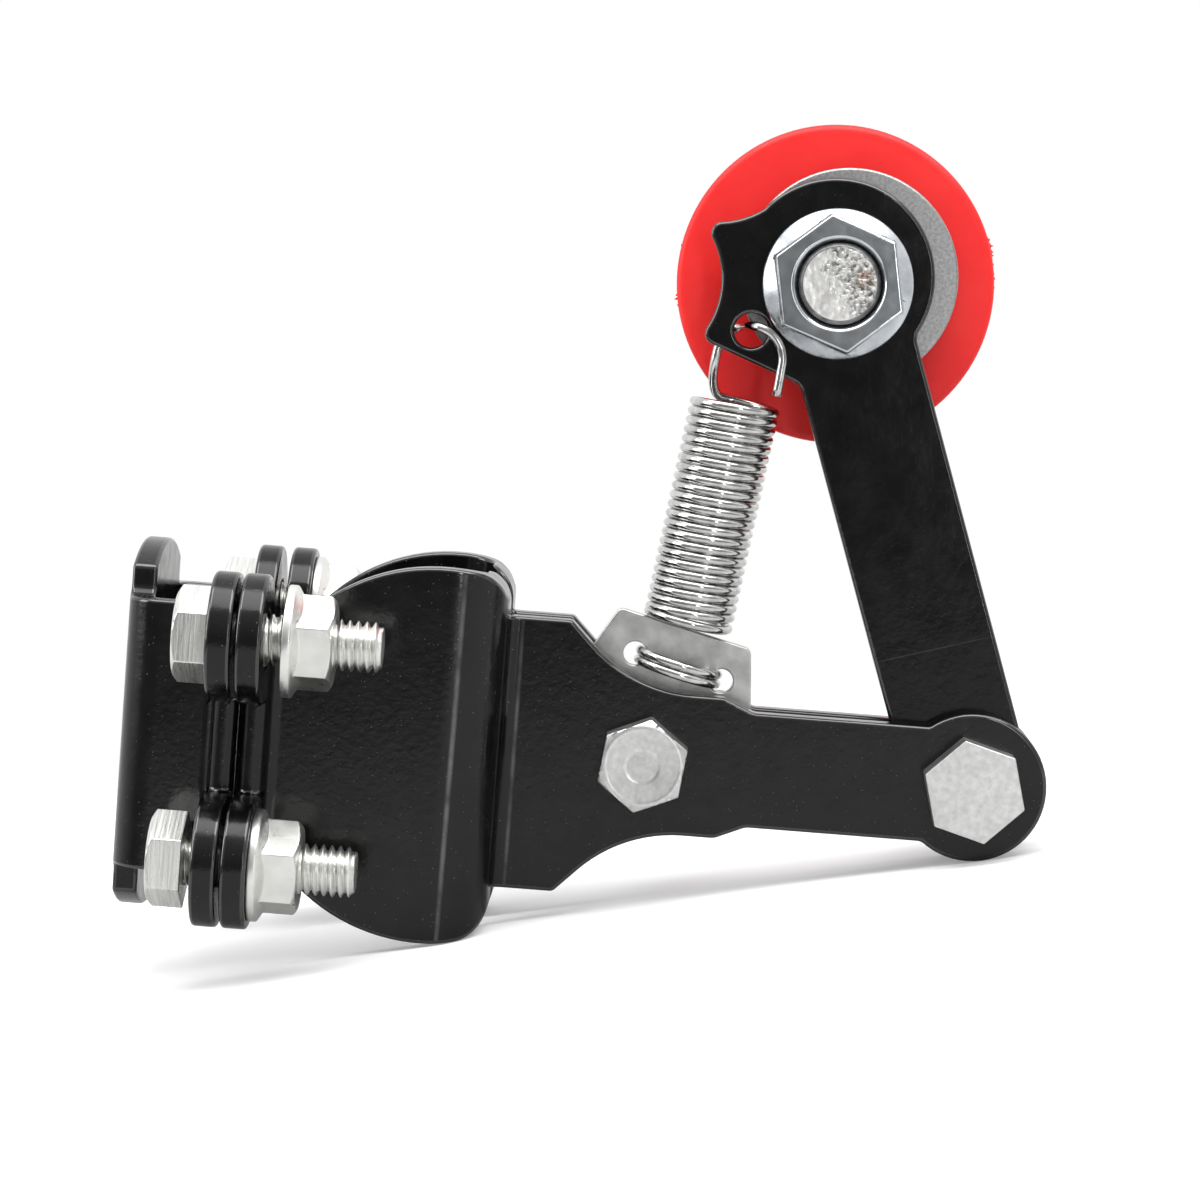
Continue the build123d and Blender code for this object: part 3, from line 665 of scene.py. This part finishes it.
coil_turns = int((spring_length - coil_start - hook_reach) / coil_pitch) - hook_turn_back
end_lean = tan(anchor_tilt) - spring_up.x / spring_up.z


def ramp_up(share):
    """Smooth rise from 0 to 1 as the share goes from 0 to 1."""
    held = min(max(share, 0), 1)
    return held * held * (3 - 2 * held)


def coil_point(turn):
    """Right, back and up of a point on the turns. The end turns lie in the anchor plate's holes."""
    right = coil_radius * cos(2 * pi * turn)
    up = end_pitch * (ramp_up(2 * turn) - 0.5)
    up += (coil_start - end_pitch / 2) * ramp_up(2 * (turn - first_coil) + 1)
    up += coil_pitch * max(turn - first_coil, 0)
    up -= end_lean * right * (1 - ramp_up(turn - first_coil))
    return Vector((right, coil_radius * sin(2 * pi * turn), up))


def hook_point(angle):
    """Point on the hook's round, from its leg behind the arm to its leg in front."""
    right = hook_shift - hook_radius * cos(angle)
    back = -hook_stand_off * tanh((right + hook_cross) / hook_dive)
    return Vector((right, back, spring_length + hook_lift - hook_radius * (1 - sin(angle))))


def leg_point(start, way, end, share):
    """Point on the smooth leg between the last coil and the hook."""
    corners = (start, start + way * hook_bend, end - Vector((0, 0, hook_bend)), end)
    parts = ((1 - share) ** 3, 3 * share * (1 - share) ** 2, 3 * share ** 2 * (1 - share), share ** 3)
    return sum((corner * part for corner, part in zip(corners, parts)), Vector())


def spring_piece():
    """One wire from the cut end in the anchor plate to the cut end of the hook."""
    last_turn = first_coil + coil_turns
    steps = round((last_turn + tail_turn) * 40)
    line = [coil_point(-tail_turn + (last_turn + tail_turn) * i / steps) for i in range(steps + 1)]
    way = (line[-1] - line[-2]).normalized()
    start, end = line[-1], hook_point(0)
    line += [leg_point(start, way, end, i / 16) for i in range(1, 16)]
    line += [hook_point(pi * i / 48) for i in range(49)]
    line += [line[-1] + hook_tail * (i / 4) for i in range(1, 5)]
    curve = bpy.data.curves.new("spring_wire", "CURVE")
    curve.dimensions = "3D"
    curve.bevel_depth = wire_radius * mm
    curve.bevel_resolution = 6
    curve.use_fill_caps = True
    spline = curve.splines.new("POLY")
    spline.points.add(len(line) - 1)
    for point, step in zip(spline.points, line):
        at = spring_foot + spring_right * step.x + Vector((0, step.y, 0)) + spring_up * step.z
        point.co = (*(at * mm), 1)
    guide = bpy.data.objects.new("spring_guide", curve)
    bpy.context.scene.collection.objects.link(guide)
    bpy.context.view_layer.update()
    mesh = bpy.data.meshes.new_from_object(guide)
    bpy.data.objects.remove(guide)
    bm = bmesh.new()
    bm.from_mesh(mesh)
    bpy.data.meshes.remove(mesh)
    bmesh.ops.remove_doubles(bm, verts=bm.verts, dist=0.0004 * mm)
    bmesh.ops.recalc_face_normals(bm, faces=bm.faces)
    for face in bm.faces:
        face.smooth = True
    wire = bpy.data.meshes.new("extension_spring_wire")
    bm.to_mesh(wire)
    bm.free()
    wire.materials.append(wire_steel)
    piece = bpy.data.objects.new("extension_spring_wire", wire)
    bpy.context.scene.collection.objects.link(piece)
    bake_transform(piece)
    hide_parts("extension_spring")


spring_piece()


# Floor, light and camera
floor_tilt = radians(11.99)
floor_drop = 25.66


def floor_finish():
    """Matt white near the part and plain white far from it, but grey in light and reflections."""
    finish = bpy.data.materials.new("pale_floor")
    finish.use_nodes = True
    tree = finish.node_tree
    tree.nodes.clear()
    output = tree.nodes.new("ShaderNodeOutputMaterial")
    plain = tree.nodes.new("ShaderNodeBsdfDiffuse")
    plain.inputs["Color"].default_value = (0.80, 0.80, 0.80, 1)
    glow = tree.nodes.new("ShaderNodeEmission")
    glow.inputs["Strength"].default_value = 0.26
    lit = tree.nodes.new("ShaderNodeAddShader")
    tree.links.new(plain.outputs[0], lit.inputs[0])
    tree.links.new(glow.outputs[0], lit.inputs[1])
    white = tree.nodes.new("ShaderNodeEmission")
    white.inputs["Strength"].default_value = 1.0
    distance = tree.nodes.new("ShaderNodeVectorMath")
    distance.operation = "LENGTH"
    tree.links.new(place(tree), distance.inputs[0])
    away = span(tree, distance.outputs["Value"], 0.12, 0.25, 0, 1)
    faded = tree.nodes.new("ShaderNodeMixShader")
    tree.links.new(away, faded.inputs[0])
    tree.links.new(lit.outputs[0], faded.inputs[1])
    tree.links.new(white.outputs[0], faded.inputs[2])
    dim = tree.nodes.new("ShaderNodeBsdfDiffuse")
    dim.inputs["Color"].default_value = (0.50, 0.50, 0.50, 1)
    rays = tree.nodes.new("ShaderNodeLightPath")
    seen = sums(tree, "MAXIMUM", rays.outputs["Is Camera Ray"], rays.outputs["Is Transmission Ray"])
    pick = tree.nodes.new("ShaderNodeMixShader")
    tree.links.new(seen, pick.inputs[0])
    tree.links.new(dim.outputs[0], pick.inputs[1])
    tree.links.new(faded.outputs[0], pick.inputs[2])
    tree.links.new(pick.outputs[0], output.inputs["Surface"])
    return finish


def pale_floor():
    """White table that the cheeks and the pivot end rest on, fading into the white behind."""
    bm = bmesh.new()
    bmesh.ops.create_circle(bm, cap_ends=True, segments=96, radius=0.28)
    mesh = bpy.data.meshes.new("pale_floor")
    bm.to_mesh(mesh)
    bm.free()
    floor = bpy.data.objects.new("pale_floor", mesh)
    up = Vector((-sin(floor_tilt), 0, cos(floor_tilt)))
    ahead = Vector((cos(floor_tilt), 0, sin(floor_tilt)))
    middle_of_floor = ahead * 35 * mm - up * floor_drop * mm
    floor.matrix_world = Matrix.Translation(middle_of_floor) @ Matrix.Rotation(-floor_tilt, 4, "Y")
    bpy.context.scene.collection.objects.link(floor)
    floor.data.materials.append(floor_finish())


def white_room():
    """White background that metal shows too, with a darker room on the viewer's side."""
    world = bpy.data.worlds.new("white_room")
    bpy.context.scene.world = world
    world.use_nodes = True
    tree = world.node_tree
    tree.nodes.clear()
    output = tree.nodes.new("ShaderNodeOutputWorld")
    direction = tree.nodes.new("ShaderNodeTexCoord")
    axes = tree.nodes.new("ShaderNodeSeparateXYZ")
    tree.links.new(direction.outputs["Generated"], axes.inputs[0])
    behind = span(tree, axes.outputs["Y"], -0.55, 0.25, 0.22, 0.85)
    above = span(tree, axes.outputs["Z"], 0.05, 0.75, 0, 0.45)
    rays = tree.nodes.new("ShaderNodeLightPath")
    whiter = span(tree, axes.outputs["Y"], -0.55, 0.25, 0, 0.15)
    shown = sums(tree, "MULTIPLY", rays.outputs["Is Glossy Ray"], whiter)
    light = sums(tree, "ADD", sums(tree, "ADD", behind, above), shown)
    room = tree.nodes.new("ShaderNodeBackground")
    room.inputs["Color"].default_value = (1, 1, 1, 1)
    tree.links.new(sums(tree, "MINIMUM", light, 1.0), room.inputs["Strength"])
    white = tree.nodes.new("ShaderNodeBackground")
    white.inputs["Color"].default_value = (1, 1, 1, 1)
    seen = sums(tree, "MAXIMUM", rays.outputs["Is Camera Ray"], rays.outputs["Is Transmission Ray"])
    pick = tree.nodes.new("ShaderNodeMixShader")
    tree.links.new(seen, pick.inputs[0])
    tree.links.new(room.outputs[0], pick.inputs[1])
    tree.links.new(white.outputs[0], pick.inputs[2])
    tree.links.new(pick.outputs[0], output.inputs["Surface"])


def softbox(name, at, aim, width, height, power):
    """Flat studio lamp that faces a point, all in millimetres."""
    lamp = bpy.data.lights.new(name, "AREA")
    lamp.shape = "RECTANGLE"
    lamp.size = width * mm
    lamp.size_y = height * mm
    lamp.energy = power
    holder = bpy.data.objects.new(name, lamp)
    holder.location = Vector(at) * mm
    holder.rotation_mode = "QUATERNION"
    holder.rotation_quaternion = (Vector(aim) - Vector(at)).to_track_quat("-Z", "Y")
    bpy.context.scene.collection.objects.link(holder)


def photo_camera():
    """Camera fitted to the photograph."""
    lens = bpy.data.cameras.new("photo_camera")
    lens.sensor_width = 36.0
    lens.lens = 118.8
    lens.clip_start = 0.01
    camera = bpy.data.objects.new("photo_camera", lens)
    right = Vector((0.99692, 0.02450, 0.07452))
    up = Vector((-0.07621, 0.07708, 0.99411))
    back = Vector((0.01861, -0.99672, 0.07870))
    turn = Matrix((right, up, back)).transposed().to_4x4()
    camera.matrix_world = Matrix.Translation(Vector((42.26, -482.04, 56.99)) * mm) @ turn
    bpy.context.scene.collection.objects.link(camera)
    bpy.context.scene.camera = camera


pale_floor()
white_room()
middle = (35, 0, 25)
softbox("top_box", (20, -120, 420), middle, 620, 320, 2.5)
softbox("left_box", (-420, -120, 160), middle, 220, 360, 0.95)
softbox("right_strip", (186, -470, 40), middle, 30, 420, 0.34)
photo_camera()
bpy.context.scene.view_settings.view_transform = "Standard"
